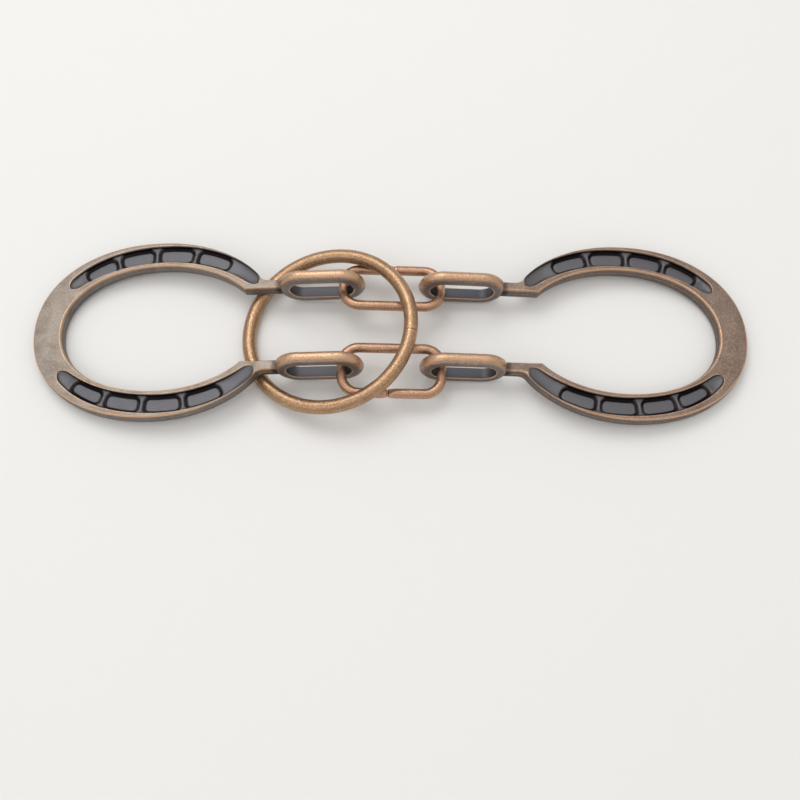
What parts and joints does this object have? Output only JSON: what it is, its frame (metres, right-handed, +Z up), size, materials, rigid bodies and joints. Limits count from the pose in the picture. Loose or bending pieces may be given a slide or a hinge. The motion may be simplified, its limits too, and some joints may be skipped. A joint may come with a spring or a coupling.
{
  "type": "horseshoe disentanglement puzzle",
  "caption": "Cast horseshoes joined eye to eye by oblong wire links, with a loose wire ring threaded round the chain; a hand puzzle.",
  "frame": {"origin": "on the ground, under the middle of the whole puzzle's box", "axes": "+X along the chain from the left shoe's toe to the right shoe's toe, +Y across the chain towards the rear link, +Z up"},
  "size_m": [0.1599, 0.0434, 0.0126],
  "materials": {
    "cast_copper": "antique copper plating, dark in the hollows and rubbed bright on the edges",
    "wire_copper": "antique copper plated wire, satin"
  },
  "bodies": {
    "left_shoe": {"left_horseshoe": "cast_copper"},
    "rear_link": {"rear_link": "wire_copper"},
    "front_link": {"front_link": "wire_copper"},
    "right_shoe": {"right_horseshoe": "cast_copper"},
    "ring": {"loose_ring": "wire_copper"}
  },
  "joints": [
    {"name": "rear_link_fold", "type": "hinge", "parent": "left_shoe", "child": "rear_link", "pos_m": [-0.01089, 0.0099, 0.00585], "axis": [0, 1, 0], "range_deg": [0, 120]},
    {"name": "front_link_fold", "type": "hinge", "parent": "left_shoe", "child": "front_link", "pos_m": [-0.01089, -0.0105, 0.00585], "axis": [0, 1, 0], "range_deg": [0, 120]},
    {"name": "right_shoe_fold", "type": "hinge", "parent": "rear_link", "child": "right_shoe", "pos_m": [0.01089, 0.0099, 0.00505], "axis": [0, 1, 0], "range_deg": [-80, 60]},
    {"name": "ring_flip", "type": "hinge", "parent": "left_shoe", "child": "ring", "pos_m": [-0.0139, -0.0007, 0.00565], "axis": [0, -1, 0], "range_deg": [0, 120]}
  ],
  "couplings": [
    {"joint": "front_link_fold", "follows": "rear_link_fold", "ratio": 1}
  ]
}
